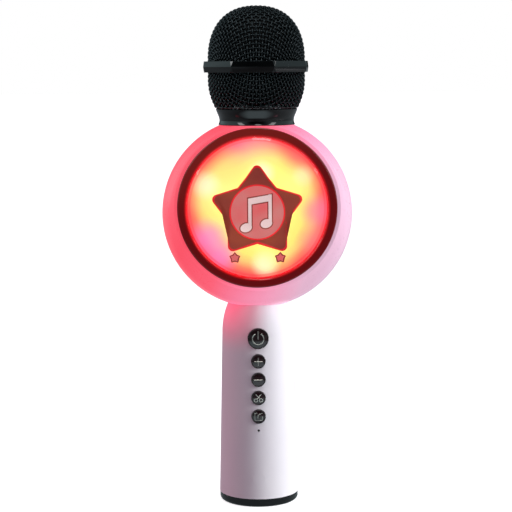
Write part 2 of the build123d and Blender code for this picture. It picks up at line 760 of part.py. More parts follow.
def button_cap(height, radius):
    """A domed cap through the shell, with a flange that keeps it in and a stem onto its switch."""
    flange = flange_front(height, radius)
    crown = grip_radius(height) + BUTTON_RISE
    dome_rise = BUTTON_DOME_SHARE * radius
    cap = disc(radius, flange, crown - dome_rise, z=height)
    bulge_r = (radius**2 + dome_rise**2) / (2 * dome_rise)
    bulge = facing(z=height) * Pos(0, 0, crown - bulge_r) * Sphere(bulge_r)
    cap += disc(radius, crown - dome_rise, crown, z=height) & bulge
    return cap + disc(radius + BUTTON_FLANGE, flange - BUTTON_FLANGE_WALL, flange, z=height)


def switch_stem(height, radius):
    """The plunger of the button's switch, which moves with the button."""
    body_top = BOARD_FRONT_DEPTH + SWITCH_HEIGHT
    return disc(STEM_R, body_top - STEM_IN_SWITCH, switch_top(height, radius), z=height)


def switch_bodies():
    bodies = []
    body_top = BOARD_FRONT_DEPTH + SWITCH_HEIGHT
    half = SWITCH_SIDE / 2
    for _, height, _ in BUTTONS:
        body = block(SWITCH_SIDE, BOARD_FRONT_DEPTH + SEAT_GAP, body_top, height - half, height + half)
        bodies.append(body - disc(STEM_R + CONTACT_GAP, body_top - STEM_WELL, body_top, z=height))
    return Compound(bodies)


def status_light_pipe():
    """The clear pin that carries the status light to the shell's surface."""
    tip = grip_radius(STATUS_LIGHT_Z) - 2 * CONTACT_GAP
    return disc(LIGHT_PIPE_R, BOARD_FRONT_DEPTH + 1.2, tip, z=STATUS_LIGHT_Z)


def status_led():
    z = STATUS_LIGHT_Z
    return block(2.0, BOARD_FRONT_DEPTH + SEAT_GAP, BOARD_FRONT_DEPTH + 1.1, z - 0.8, z + 0.8)


# ---- electronics --------------------------------------------------------------------------------
BOARD_BACK_DEPTH = BOARD_FRONT_DEPTH - BOARD_WALL


def main_board():
    board = block(2 * BOARD_HALF_WIDTH, BOARD_BACK_DEPTH, BOARD_FRONT_DEPTH, BOARD_LOW_Z, BOARD_HIGH_Z)
    for x, z in board_screw_places():
        board -= disc(BOARD_SCREW_R + SCREW_CLEARANCE, 0, 2 * BOARD_FRONT_DEPTH, x, z)
    return board


def board_screws():
    screws = []
    seat = BOARD_BACK_DEPTH - SEAT_GAP
    for x, z in board_screw_places():
        head = disc(BOARD_SCREW_HEAD_R, seat - BOARD_SCREW_HEAD, seat, x, z)
        screws.append(head + disc(BOARD_SCREW_R, seat, BOARD_SCREW_TIP_DEPTH, x, z))
    return Compound(screws)


def board_chips():
    """Sound, radio and amplifier chips on the back of the main board."""
    chips = []
    back = BOARD_BACK_DEPTH - SEAT_GAP
    for width, length, thick, x, z in CHIPS:
        chips.append(block(width, back - thick, back, z - length / 2, z + length / 2, x))
    return Compound(chips)


def board_capacitors():
    cans = []
    back = BOARD_BACK_DEPTH - SEAT_GAP
    for x, z in CAPACITORS:
        cans.append(disc(CAPACITOR_R, back - CAPACITOR_HEIGHT, back, x, z))
    return Compound(cans)


def board_connectors():
    """Wire sockets along the top of the main board."""
    sockets = []
    top = BOARD_HIGH_Z - 1.0
    back = BOARD_BACK_DEPTH - SEAT_GAP
    for x in WIRE_SOCKETS:
        sockets.append(block(SOCKET_SIDE, back - SOCKET_HEIGHT, back, top - SOCKET_SIDE, top, x))
    return Compound(sockets)


def battery_cell():
    top = CELL_LOW_Z + CELL_LENGTH
    cell = rod(CELL_R, CELL_LOW_Z, top - CELL_CAP, y=CELL_Y)
    return cell + rod(CELL_CAP_R, top - CELL_CAP, top, y=CELL_Y)


def battery_tray():
    """The open tray that holds the cell against the rear shell."""
    low = CELL_LOW_Z - 2 * TRAY_END
    high = CELL_LOW_Z + CELL_LENGTH + 2 * TRAY_END
    bore = CELL_R + TRAY_GAP
    outer = bore + TRAY_WALL
    tray = tube(outer, bore, low, high, y=CELL_Y)
    tray += rod(outer, low, low + TRAY_END, y=CELL_Y) + rod(outer, high - TRAY_END, high, y=CELL_Y)
    return tray & Pos(0, CELL_Y + 1 + BIG / 2, 0) * Box(BIG, BIG, 2 * BIG)


def battery_contacts():
    contacts = []
    for low in (CELL_LOW_Z - SEAT_GAP - CONTACT_WALL, CELL_LOW_Z + CELL_LENGTH + SEAT_GAP):
        y = CELL_Y + CELL_R / 2
        contacts.append(Pos(0, y, low) * Box(CONTACT_WIDTH, CONTACT_LENGTH, CONTACT_WALL, align=UP))
    return Compound(contacts)


def usb_port():
    """The charging socket's metal shell and tongue, open at the base."""
    half = PORT_HEIGHT / 2
    inner = half - PORT_WALL
    shell = block(PORT_WIDTH, -half, half, PORT_LOW_Z, PORT_TOP_Z)
    shell = fillet(shell.edges().filter_by(Axis.Z), half - 2 * SEAT_GAP)
    hollow = block(PORT_WIDTH - 2 * PORT_WALL, -inner, inner, 0, PORT_TOP_Z - 1)
    hollow = fillet(hollow.edges().filter_by(Axis.Z), inner - 2 * SEAT_GAP)
    tongue = PORT_TONGUE / 2
    return shell - hollow + block(PORT_TONGUE_WIDTH, -tongue, tongue, PORT_LOW_Z + 1, PORT_TOP_Z - 0.95)


def charge_board():
    back = PORT_SLOT_HEIGHT / 2
    low, high = CHARGE_BOARD_LOW_Z, CHARGE_BOARD_TOP_Z
    return block(CHARGE_BOARD_WIDTH, -back - CHARGE_BOARD_WALL, -back, low, high)


def wire(points):
    path = FilletPolyline(*points, radius=WIRE_BEND)
    start = Plane(origin=path @ 0, z_dir=path % 0)
    return sweep(start * Circle(WIRE_R), path)


def wires():
    """Leads from the main board: to the lights, to the speaker, and up to the capsule."""
    low = BOARD_HIGH_Z - 0.9
    y = -BOARD_BACK_DEPTH + 1.4
    left, middle, right = WIRE_SOCKETS
    to_lights = [(left, y, low), (left, y, 104), (left, -1.5, 116), (left, -5.2, 130)]
    to_speaker = [(middle, y, low), (middle, y, 103), (middle, 4, 114), (middle, 6, 138)]
    to_head = [
        (right, y, low),
        (right, y, 104),
        (right, -1, 117),
        (21, 0, 128),
        (22, 0, 174),
        (0, 0, 188),
        (0, 0, CAPSULE_LOW_Z - 1),
    ]
    return Compound([wire(to_lights), wire(to_speaker), wire(to_head)])


# ---- files --------------------------------------------------------------------------------------
def pieces():
    made = {
        "grille_dome": grille_dome(),
        "grille_basket": grille_basket(),
        "grille_band": grille_band(),
        "thread_ring": thread_ring(),
        "foam_liner": foam_liner(),
        "mic_capsule": mic_capsule(),
        "capsule_boot": capsule_boot(),
        "capsule_post": capsule_post(),
        "collar": collar(),
        "disc_front_shell": disc_front_shell(),
        "disc_rear_shell": disc_rear_shell(),
        "disc_screws": disc_screws(),
        "bezel_ring": bezel_ring(),
        "face_lens": face_lens(),
        "emblem_film": emblem_film(),
        "light_diffuser": light_diffuser(),
        "reflector_ring": reflector_ring(),
        "led_board": led_board(),
        "led_chips": led_chips(),
        "speaker_frame": speaker_frame(),
        "speaker_magnet": speaker_magnet(),
        "speaker_cone": speaker_cone(),
        "speaker_surround": speaker_surround(),
        "speaker_gasket": speaker_gasket(),
        "speaker_grille": speaker_grille(),
        "speaker_trim": speaker_trim(),
        "grip_front_shell": grip_front_shell(),
        "grip_rear_shell": grip_rear_shell(),
        "grip_screws": grip_screws(),
        "end_cap": end_cap(),
        "cap_screws": cap_screws(),
        "switch_bodies": switch_bodies(),
        "status_light_pipe": status_light_pipe(),
        "status_led": status_led(),
        "main_board": main_board(),
        "board_screws": board_screws(),
        "board_chips": board_chips(),
        "board_capacitors": board_capacitors(),
        "board_connectors": board_connectors(),
        "battery_cell": battery_cell(),
        "battery_tray": battery_tray(),
        "battery_contacts": battery_contacts(),
        "usb_port": usb_port(),
        "charge_board": charge_board(),
        "wires": wires(),
    }
    for name, height, radius in BUTTONS:
        made[f"{name}_button"] = button_cap(height, radius)
        made[f"{name}_switch_stem"] = switch_stem(height, radius)
    return made


os.makedirs("parts", exist_ok=True)
for node, shape in pieces().items():
    shape.label = node
    export_step(shape, f"parts/{node}.step")
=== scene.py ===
"""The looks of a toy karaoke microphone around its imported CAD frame.

Metres, in the CAD frame: +Z runs up the microphone and the lit face looks along -Y.
"""
import json
import math

import bmesh
import bpy
import numpy as np
from mathutils import Matrix, Vector, noise

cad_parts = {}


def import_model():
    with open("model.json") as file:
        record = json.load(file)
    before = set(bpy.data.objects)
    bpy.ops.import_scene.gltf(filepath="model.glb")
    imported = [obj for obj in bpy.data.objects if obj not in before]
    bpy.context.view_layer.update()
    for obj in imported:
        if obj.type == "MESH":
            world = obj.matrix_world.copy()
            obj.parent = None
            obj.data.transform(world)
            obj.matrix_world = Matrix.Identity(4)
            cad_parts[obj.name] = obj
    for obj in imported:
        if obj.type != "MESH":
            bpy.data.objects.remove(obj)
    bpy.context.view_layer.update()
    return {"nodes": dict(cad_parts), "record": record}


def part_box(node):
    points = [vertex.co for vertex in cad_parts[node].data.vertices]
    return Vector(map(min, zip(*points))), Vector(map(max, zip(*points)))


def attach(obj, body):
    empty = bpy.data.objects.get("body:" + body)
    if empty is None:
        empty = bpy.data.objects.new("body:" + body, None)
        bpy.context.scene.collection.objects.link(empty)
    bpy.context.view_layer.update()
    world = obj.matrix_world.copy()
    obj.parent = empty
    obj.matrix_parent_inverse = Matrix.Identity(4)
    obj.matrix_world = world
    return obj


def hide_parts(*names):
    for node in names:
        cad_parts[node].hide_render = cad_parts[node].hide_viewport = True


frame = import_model()

MM = 0.001
TAU = 2 * math.pi
ROOT = "microphone"
BUTTONS = ("power", "plus", "minus", "echo", "mode")


# ---- places and sizes from the frame ------------------------------------------------------------
def low(node):
    return Vector(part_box(node)[0])


def high(node):
    return Vector(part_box(node)[1])


def middle(node):
    return (low(node) + high(node)) / 2


TOP_Z = high("grille_dome").z
MESH_R = high("grille_dome").x
BAND_LOW_Z = low("grille_band").z
BAND_HIGH_Z = high("grille_band").z
BAND_Z = middle("grille_band").z
DISC_R = high("disc_rear_shell").x
DISC_Z = middle("speaker_grille").z
FACE_Z = middle("bezel_ring").z
BEZEL_R = high("bezel_ring").x
BEZEL_DEPTH = -low("bezel_ring").y
LENS_R = high("face_lens").x
FILM_DEPTH = -low("emblem_film").y


# ---- node helpers -------------------------------------------------------------------------------
def srgb(red, green, blue):
    """A colour given in 0 to 255 screen values, as the linear values that shaders take."""
    linear = []
    for value in (red, green, blue):
        part = value / 255
        linear.append(part / 12.92 if part <= 0.04045 else ((part + 0.055) / 1.055) ** 2.4)
    return (*linear, 1.0)


class Shader:
    """A material being put together: node calls return output sockets."""

    def __init__(self, name):
        self.material = bpy.data.materials.new(name)
        self.material.use_nodes = True
        self.tree = self.material.node_tree
        self.surface = self.tree.nodes["Principled BSDF"]
        self.place = self.node("ShaderNodeTexCoord").outputs["Object"]

    def node(self, kind, **settings):
        made = self.tree.nodes.new(kind)
        for key, value in settings.items():
            setattr(made, key, value)
        return made

    def put(self, socket, value):
        if hasattr(value, "is_linked"):
            self.tree.links.new(value, socket)
        else:
            socket.default_value = value

    def noise(self, scale, detail=3.0, rough=0.5, stretch=None):
        made = self.node("ShaderNodeTexNoise")
        self.put(made.inputs["Vector"], self.scaled(stretch) if stretch else self.place)
        made.inputs["Scale"].default_value = scale
        made.inputs["Detail"].default_value = detail
        made.inputs["Roughness"].default_value = rough
        return made.outputs["Fac"]

    def cells(self, scale):
        made = self.node("ShaderNodeTexVoronoi")
        self.put(made.inputs["Vector"], self.place)
        made.inputs["Scale"].default_value = scale
        return made.outputs["Distance"]

    def scaled(self, factors):
        made = self.node("ShaderNodeMapping")
        self.put(made.inputs["Vector"], self.place)
        made.inputs["Scale"].default_value = factors
        return made.outputs["Vector"]

    def spread(self, value, near, far, out_near, out_far, smooth=False):
        """value from near..far mapped onto out_near..out_far."""
        made = self.node("ShaderNodeMapRange")
        if smooth:
            made.interpolation_type = "SMOOTHSTEP"
        self.put(made.inputs["Value"], value)
        for name, number in zip(("From Min", "From Max", "To Min", "To Max"), (near, far, out_near, out_far)):
            made.inputs[name].default_value = number
        return made.outputs["Result"]

    def math(self, operation, first, second=0.0):
        made = self.node("ShaderNodeMath", operation=operation)
        self.put(made.inputs[0], first)
        self.put(made.inputs[1], second)
        return made.outputs[0]

    def along(self, direction, origin=(0, 0, 0)):
        """How far a point lies along a direction from an origin, in metres."""
        shift = self.node("ShaderNodeVectorMath", operation="SUBTRACT")
        self.put(shift.inputs[0], self.place)
        shift.inputs[1].default_value = origin
        dot = self.node("ShaderNodeVectorMath", operation="DOT_PRODUCT")
        self.put(dot.inputs[0], shift.outputs[0])
        dot.inputs[1].default_value = direction
        return dot.outputs["Value"]

    def distance(self, point):
        made = self.node("ShaderNodeVectorMath", operation="DISTANCE")
        self.put(made.inputs[0], self.place)
        made.inputs[1].default_value = point
        return made.outputs["Value"]

    def ramp(self, value, stops):
        made = self.node("ShaderNodeValToRGB")
        self.put(made.inputs["Fac"], value)
        elements = made.color_ramp.elements
        while len(elements) < len(stops):
            elements.new(0.5)
        for element, (place, colour) in zip(elements, stops):
            element.position = place
            element.color = colour
        return made.outputs["Color"]

    def mix(self, share, first, second):
        made = self.node("ShaderNodeMix", data_type="RGBA")
        self.put(made.inputs["Factor"], share)
        self.put(made.inputs["A"], first)
        self.put(made.inputs["B"], second)
        return made.outputs["Result"]

    def bump(self, height, depth):
        made = self.node("ShaderNodeBump")
        made.inputs["Strength"].default_value = 1.0
        made.inputs["Distance"].default_value = depth
        self.put(made.inputs["Height"], height)
        self.put(self.surface.inputs["Normal"], made.outputs["Normal"])

    def set(self, **values):
        for key, value in values.items():
            self.put(self.surface.inputs[key.replace("_", " ")], value)


def finish_material(name, colour, rough, *, spread=0.08, shade=0.12, grain=900.0, depth=0.00002, metal=0.0,
                    coat=0.0, stretch=None):
    """A solid finish: colour mottling, uneven roughness and a fine surface grain."""
    s = Shader(name)
    broad = s.noise(60.0, 4.0, 0.6)
    fine = s.noise(grain, 2.0, 0.5, stretch)
    darker = tuple(c * (1 - shade) for c in colour[:3]) + (1.0,)
    lighter = tuple(min(c * (1 + shade) + 0.002, 1.0) for c in colour[:3]) + (1.0,)
    tone = s.ramp(s.spread(broad, 0.3, 0.7, 0.0, 1.0), ((0.0, darker), (1.0, lighter)))
    s.set(Base_Color=tone, Metallic=metal, Coat_Weight=coat, Coat_Roughness=0.03)
    s.set(Roughness=s.spread(fine, 0.3, 0.7, max(rough - spread, 0.02), min(rough + spread, 1.0)))
    s.bump(fine, depth)
    return s.material


def black_gloss():
    return finish_material("black_gloss", srgb(5, 7, 8), 0.08, spread=0.03, shade=0.2,
                           grain=500.0, depth=0.000002)


def black_wire():
    """Lacquered steel wire, with thin spots where the lacquer pulled back."""
    s = Shader("black_wire")
    worn = s.spread(s.noise(420.0, 3.0, 0.6), 0.60, 0.74, 0.0, 1.0)
    s.set(Base_Color=s.mix(worn, srgb(43, 47, 49), srgb(60, 64, 66)), Metallic=1.0)
    s.set(Roughness=s.spread(s.noise(1500.0), 0.3, 0.7, 0.17, 0.26))
    s.bump(s.noise(2600.0, 2.0), 0.00001)
    return s.material


def black_foam():
    s = Shader("black_foam")
    pores = s.cells(1300.0)
    s.set(Base_Color=s.ramp(pores, ((0.0, srgb(2, 2, 2)), (0.7, srgb(9, 9, 10)))), Roughness=0.95)
    s.bump(pores, 0.0004)
    return s.material


def plated(name, tone, rough=0.28):
    return finish_material(name, tone, rough, metal=1.0, grain=700.0, stretch=(1, 1, 14), depth=0.000008)


# The housing's tints from the side lit by the lamps to the side washed out by daylight.
def glow_shell():
    """White translucent plastic lit from inside: red-pink on one side, pale lilac on the other."""
    s = Shader("glow_shell")
    across = s.spread(s.along((0.95, 0.0, -0.31), (0, 0, DISC_Z)), -DISC_R, DISC_R, 0.0, 1.0)
    cloud = s.spread(s.noise(22.0, 1.0, 0.4), 0.3, 0.7, -0.025, 0.025)
    place = s.math("ADD", across, cloud)
    lit = s.ramp(
        place,
        (
            (0.0, srgb(232, 86, 102)),
            (0.2, srgb(238, 74, 92)),
            (0.38, srgb(242, 88, 110)),
            (0.52, srgb(238, 118, 148)),
            (0.68, srgb(226, 142, 170)),
            (0.84, srgb(192, 156, 176)),
            (1.0, srgb(136, 112, 132)),
        ),
    )
    skin = s.ramp(
        place,
        (
            (0.0, srgb(180, 84, 92)),
            (0.35, srgb(180, 90, 102)),
            (0.6, srgb(176, 112, 138)),
            (0.85, srgb(172, 130, 150)),
            (1.0, srgb(200, 168, 186)),
        ),
    )
    s.set(Base_Color=skin, Emission_Color=lit, Emission_Strength=0.98, Specular_IOR_Level=0.35)
    s.set(Roughness=s.spread(s.noise(700.0), 0.3, 0.7, 0.26, 0.34))
    s.bump(s.noise(1400.0, 2.0), 0.000003)
    return s.material


def maroon_gloss():
    """Deep red translucent plastic, brighter next to the window where the lamps shine into it, with painted
    light that makes it lighter towards its upper left.
    """
    s = Shader("maroon_gloss")
    edge = s.spread(s.distance((0, -BEZEL_DEPTH, FACE_Z)), LENS_R, LENS_R + 1.5 * MM, 1.0, 0.0, smooth=True)
    cloud = s.spread(s.noise(45.0, 2.0), 0.3, 0.7, 0.6, 1.0)
    glow = s.math("MULTIPLY", edge, cloud)
    # Painted light: the emission is made lighter and browner towards the bezel's upper left.
    top = s.spread(s.along((-0.35, 0, 0.94), (0, 0, FACE_Z)), 0.0, BEZEL_R, 0.0, 1.0, smooth=True)
    lit = s.mix(top, srgb(88, 2, 4), srgb(112, 26, 20))
    s.set(Base_Color=s.mix(glow, srgb(70, 4, 6), srgb(160, 8, 10)))
    s.set(Emission_Color=s.mix(glow, lit, srgb(225, 4, 16)), Emission_Strength=0.8)
    s.set(Roughness=s.spread(s.noise(600.0), 0.3, 0.7, 0.08, 0.16))
    s.bump(s.noise(900.0, 2.0), 0.000002)
    return s.material


# Lamps behind the film: right and up from the face's middle in mm, reach in mm, strongest share, colour.
LAMP_SPOTS = (
    ((-3.0, 33.0), 22.0, 0.75, (255, 128, 150)),
    ((20.0, 25.0), 12.0, 0.45, (255, 120, 110)),
    ((-24.0, -15.0), 13.0, 0.75, (255, 120, 190)),
    ((-18.0, -24.0), 11.0, 0.75, (255, 120, 185)),
    ((30.5, -2.0), 12.0, 0.7, (255, 110, 150)),
    ((28.0, -16.0), 11.0, 0.5, (255, 120, 130)),
    ((2.0, 17.0), 20.0, 0.7, (255, 255, 130)),
    ((-19.0, 8.0), 19.0, 0.85, (252, 240, 140)),
    ((-14.0, 20.0), 13.0, 0.6, (250, 214, 122)),
    ((20.0, 12.0), 14.0, 0.6, (255, 246, 140)),
    ((-25.5, 11.5), 9.0, 0.5, (250, 248, 220)),
    ((23.0, 16.0), 7.0, 0.35, (250, 244, 205)),
    ((2.5, 17.5), 8.0, 0.55, (255, 255, 235)),
    ((4.0, -28.0), 9.0, 0.85, (255, 250, 205)),
    ((8.0, -22.0), 15.0, 0.5, (255, 240, 130)),
)


def lit_film():
    """The printed film's background, lit from behind by coloured lamps."""
    s = Shader("lit_film")
    reach = s.distance((0, -FILM_DEPTH, FACE_Z))
    wobble = s.spread(s.noise(30.0, 1.0), 0.3, 0.7, -1.2 * MM, 1.2 * MM)
    colour = s.ramp(
        s.spread(s.math("ADD", reach, wobble), 0.0, 34.0 * MM, 0.0, 1.0),
        (
            (0.0, srgb(255, 246, 122)),
            (0.5, srgb(255, 242, 122)),
            (0.68, srgb(255, 220, 112)),
            (0.82, srgb(255, 188, 110)),
            (0.92, srgb(255, 124, 92)),
            (1.0, srgb(252, 84, 80)),
        ),
    )
    for (right, up), size, most, tint in LAMP_SPOTS:
        centre = (right * MM, -FILM_DEPTH, FACE_Z + up * MM)
        share = s.spread(s.distance(centre), 0.1 * size * MM, size * MM, most, 0.0, smooth=True)
        colour = s.mix(share, colour, srgb(*tint))
    line = s.spread(reach, 33.5 * MM, 33.8 * MM, 0.0, 1.0, smooth=True)
    rim = s.spread(reach, 34.4 * MM, 35.1 * MM, 0.0, 1.0, smooth=True)
    colour = s.mix(s.math("MULTIPLY", line, 0.4), colour, srgb(226, 60, 70))
    colour = s.mix(rim, colour, srgb(240, 20, 34))
    s.set(Base_Color=s.mix(0.55, colour, srgb(40, 20, 20)), Emission_Color=colour, Emission_Strength=1.06)
    s.set(Specular_IOR_Level=0.2, Roughness=s.spread(s.noise(1200.0), 0.3, 0.7, 0.4, 0.5))
    s.bump(s.noise(1600.0, 2.0), 0.000002)
    return s.material


def printed_ink(name, inner, outer, strength=0.55):
    """Ink on the film: lit through from behind, with the lamps' unevenness showing."""
    s = Shader(name)
    cloud = s.spread(s.noise(48.0, 2.0), 0.35, 0.65, 0.0, 1.0)
    tone = s.mix(cloud, srgb(*inner), srgb(*outer))
    s.set(Base_Color=s.mix(0.5, tone, srgb(20, 10, 10)), Emission_Color=tone, Emission_Strength=strength)
    s.set(Specular_IOR_Level=0.2, Roughness=s.spread(s.noise(1500.0), 0.3, 0.7, 0.4, 0.55))
    s.bump(s.noise(1600.0, 2.0), 0.000002)
    return s.material


def clear_lens():
    s = Shader("clear_lens")
    s.set(Base_Color=(1, 1, 1, 1), Transmission_Weight=1.0, IOR=1.45)
    s.set(Roughness=s.spread(s.noise(300.0), 0.3, 0.7, 0.0, 0.03))
    return s.material


def white_gloss():
    """Satin white shell plastic, with a painted red glow from the housing creeping down inside its upper end
    on the left, and painted shade that darkens its left side to a mauve grey.
    """
    s = Shader("white_gloss")
    # Painted glow: red emission on the grip's upper end, on the left side only, standing in for light from
    # the housing.
    rise = s.spread(s.along((0, 0, 1)), 0.078, 0.106, 0.0, 1.0, smooth=True)
    side = s.spread(s.along((1, 0, 0)), -0.019, 0.008, 1.0, 0.0, smooth=True)
    painted_glow = s.math("MULTIPLY", rise, side)
    # Painted shade: the base colour is darkened to a mauve grey across the left half of the grip, standing in
    # for the shade on the side away from the key light.
    shade = s.spread(s.along((1, 0, 0)), -0.021, 0.002, 1.0, 0.0, smooth=True)
    cloud = s.spread(s.noise(40.0, 2.0), 0.3, 0.7, 0.0, 1.0)
    base = s.mix(cloud, srgb(236, 234, 242), srgb(240, 238, 244))
    shaded_left = s.mix(s.math("MULTIPLY", shade, 0.45), base, srgb(226, 178, 190))
    s.set(Base_Color=s.mix(painted_glow, shaded_left, srgb(240, 140, 162)), Emission_Color=srgb(255, 76, 112))
    s.set(Emission_Strength=s.math("MULTIPLY", painted_glow, 0.62), Specular_IOR_Level=0.35)
    s.set(Roughness=s.spread(s.noise(500.0), 0.3, 0.7, 0.32, 0.40))
    s.bump(s.noise(900.0, 2.0), 0.000003)
    return s.material


def milky(name, colour, strength):
    s = Shader(name)
    paler = srgb(*[min(c + 12, 255) for c in colour])
    tone = s.mix(s.spread(s.noise(80.0), 0.3, 0.7, 0.0, 1.0), srgb(*colour), paler)
    s.set(Base_Color=tone, Emission_Color=tone, Emission_Strength=strength)
    s.set(Roughness=s.spread(s.noise(900.0), 0.3, 0.7, 0.45, 0.6))
    return s.material


def circuit_board(name, colour):
    """Solder mask over a faint pattern of copper tracks."""
    s = Shader(name)
    tracks = s.node("ShaderNodeTexBrick")
    s.put(tracks.inputs["Vector"], s.place)
    tracks.inputs["Scale"].default_value = 260.0
    tracks.inputs["Mortar Size"].default_value = 0.03
    lighter = tuple(min(c * 1.7 + 0.01, 1) for c in colour[:3]) + (1.0,)
    s.set(Base_Color=s.mix(tracks.outputs["Fac"], colour, lighter), Coat_Weight=0.3)
    s.set(Roughness=s.spread(s.noise(900.0), 0.3, 0.7, 0.3, 0.42))
    s.bump(tracks.outputs["Fac"], 0.00004)
    return s.material


def make_materials():
    return {
        "black_mesh": black_wire(),
        "black_gloss": black_gloss(),
        "zinc_metal": plated("zinc_metal", srgb(205, 205, 210)),
        "black_foam": black_foam(),
        "capsule_metal": plated("capsule_metal", srgb(214, 214, 218), 0.35),
        "black_rubber": finish_material("black_rubber", srgb(24, 24, 25), 0.75, depth=0.00004),
        "black_plastic": finish_material("black_plastic", srgb(26, 26, 28), 0.5, depth=0.00003),
        "glow_shell": glow_shell(),
        "screw_steel": plated("screw_steel", srgb(170, 170, 176), 0.3),
        "maroon_gloss": maroon_gloss(),
        "clear_lens": clear_lens(),
        "printed_film": lit_film(),
        "milky_diffuser": milky("milky_diffuser", (255, 226, 190), 0.4),
        "white_plastic": finish_material("white_plastic", srgb(228, 228, 226), 0.4),
        "white_board": circuit_board("white_board", srgb(225, 226, 222)),
        "led_body": milky("led_body", (255, 236, 150), 1.2),
        "speaker_steel": finish_material("speaker_steel", srgb(110, 111, 114), 0.4, metal=0.6),
        "magnet_steel": finish_material("magnet_steel", srgb(92, 93, 96), 0.5, metal=0.8, depth=0.00003),
        "cone_paper": finish_material("cone_paper", srgb(30, 29, 28), 0.85, grain=1600.0, depth=0.00012),
        "speaker_steel_black": finish_material("speaker_steel_black", srgb(22, 22, 24), 0.34, depth=0.00002),
        "white_gloss": white_gloss(),
        "green_board": circuit_board("green_board", srgb(16, 92, 48)),
        "battery_wrap": finish_material("battery_wrap", srgb(30, 84, 160), 0.25, grain=300.0, coat=0.4),
        "wire_jacket": finish_material("wire_jacket", srgb(176, 28, 26), 0.45),
        "button_gloss": finish_material("button_gloss", srgb(38, 22, 26), 0.1, spread=0.03, shade=0.2,
                                        grain=500.0, depth=0.000003),
    }


# ---- mesh helpers -------------------------------------------------------------------------------
def mesh_piece(name, vertices, faces, material, replaces):
    """A new piece of the microphone's own body, from points and faces."""
    mesh = bpy.data.meshes.new(name)
    mesh.from_pydata([tuple(v) for v in vertices], [], [tuple(f) for f in faces])
    mesh.update()
    return piece_from(name, mesh, material, replaces=replaces)


def piece_from(name, mesh, material, body=ROOT, replaces=(), sharp=None):
    """A new piece from a mesh, smooth except at edges sharper than the angle given in degrees."""
    piece = bpy.data.objects.new(name, mesh)
    bpy.context.scene.collection.objects.link(piece)
    mesh.materials.append(material)
    mesh.polygons.foreach_set("use_smooth", [True] * len(mesh.polygons))
    if sharp is not None:
        shape = bmesh.new()
        shape.from_mesh(mesh)
        bmesh.ops.recalc_face_normals(shape, faces=shape.faces)
        for edge in shape.edges:
            if len(edge.link_faces) == 2 and edge.calc_face_angle(0) > math.radians(sharp):
                edge.smooth = False
        shape.to_mesh(mesh)
        shape.free()
    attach(piece, body)
    if replaces:
        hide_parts(*replaces)
    return piece


# ---- woven wire grille --------------------------------------------------------------------------
WIRE_R = 0.43 * MM
WIRE_PITCH = 2.2 * MM
WIRE_SWING = 0.36 * MM
WIRE_SIDES = 8
WIRE_STEPS = 8
DOME_POWER = 2.35
BASKET_FOOT_R = 21.2 * MM
BASKET_CURVE_Z = 219.0 * MM
BASKET_HOLE_R = 20.7 * MM
MESH_LAP = 0.5 * MM
FOAM_INSET = 1.5 * MM
FOAM_WALL = 2.4 * MM
FOAM_LUMPS = 0.12 * MM
HEM_R = 20.75 * MM
HEM_RISE = 0.55 * MM
HEM_HALF_WIDTH = 0.45 * MM
HEM_HALF_HEIGHT = 0.42 * MM


def dome_section():
    """Points (radius, height) of the dome's middle surface, from its top down into the band."""
    inset = WIRE_R + WIRE_SWING
    angles = np.linspace(0, math.pi / 2, 160)
    rise = TOP_Z - inset - BAND_HIGH_Z
    radius = (MESH_R - inset) * np.sin(angles) ** (2 / DOME_POWER)
    height = BAND_HIGH_Z + rise * np.cos(angles) ** (2 / DOME_POWER)
    radius = np.append(radius, MESH_R - inset)
    height = np.append(height, BAND_Z + MESH_LAP)
    return radius, height


def basket_section():
    """Points (radius, height) of the basket's middle surface, from its foot up into the band."""
    inset = WIRE_R + WIRE_SWING
    foot_z = low("grille_basket").z
    foot_r = BASKET_FOOT_R - inset
    drop = BASKET_CURVE_Z - foot_z
    inward = MESH_R - inset - foot_r
    bend = (inward**2 + drop**2) / (2 * inward)
    heights = np.linspace(0, drop, 60)[::-1]
    radius = MESH_R - inset - bend + np.sqrt(bend**2 - heights**2)
    height = BASKET_CURVE_Z - heights
    radius = np.append(radius, MESH_R - inset)
    height = np.append(height, BAND_Z - MESH_LAP)
    return radius, height


class Cup:
    """A turned surface that a flat square weave is wrapped onto: distance from the pole stays true."""

    def __init__(self, section, hole, flip):
        radius, height = section
        self.travel = hole + np.concatenate([[0], np.cumsum(np.hypot(np.diff(radius), np.diff(height)))])
        self.radius = radius
        self.height = height
        self.hole = hole
        self.flip = flip

    @property
    def reach(self):
        return self.travel[-1]

    def at(self, across, along):
        """Places and outward normals for points of the flat weave."""
        far = np.hypot(across, along)
        turn = np.arctan2(along, across)
        radius = np.interp(far, self.travel, self.radius)
        height = np.interp(far, self.travel, self.height)
        ahead, behind = far + 0.3 * MM, far - 0.3 * MM
        slope_r = np.interp(ahead, self.travel, self.radius) - np.interp(behind, self.travel, self.radius)
        slope_z = np.interp(ahead, self.travel, self.height) - np.interp(behind, self.travel, self.height)
        length = np.hypot(slope_r, slope_z) + 1e-12
        sign = -1.0 if self.flip else 1.0
        out_r, out_z = -sign * slope_z / length, sign * slope_r / length
        cos, sin = np.cos(turn), np.sin(turn)
        place = np.stack([radius * cos, radius * sin, height], axis=1)
        normal = np.stack([out_r * cos, out_r * sin, out_z], axis=1)
        return place, normal


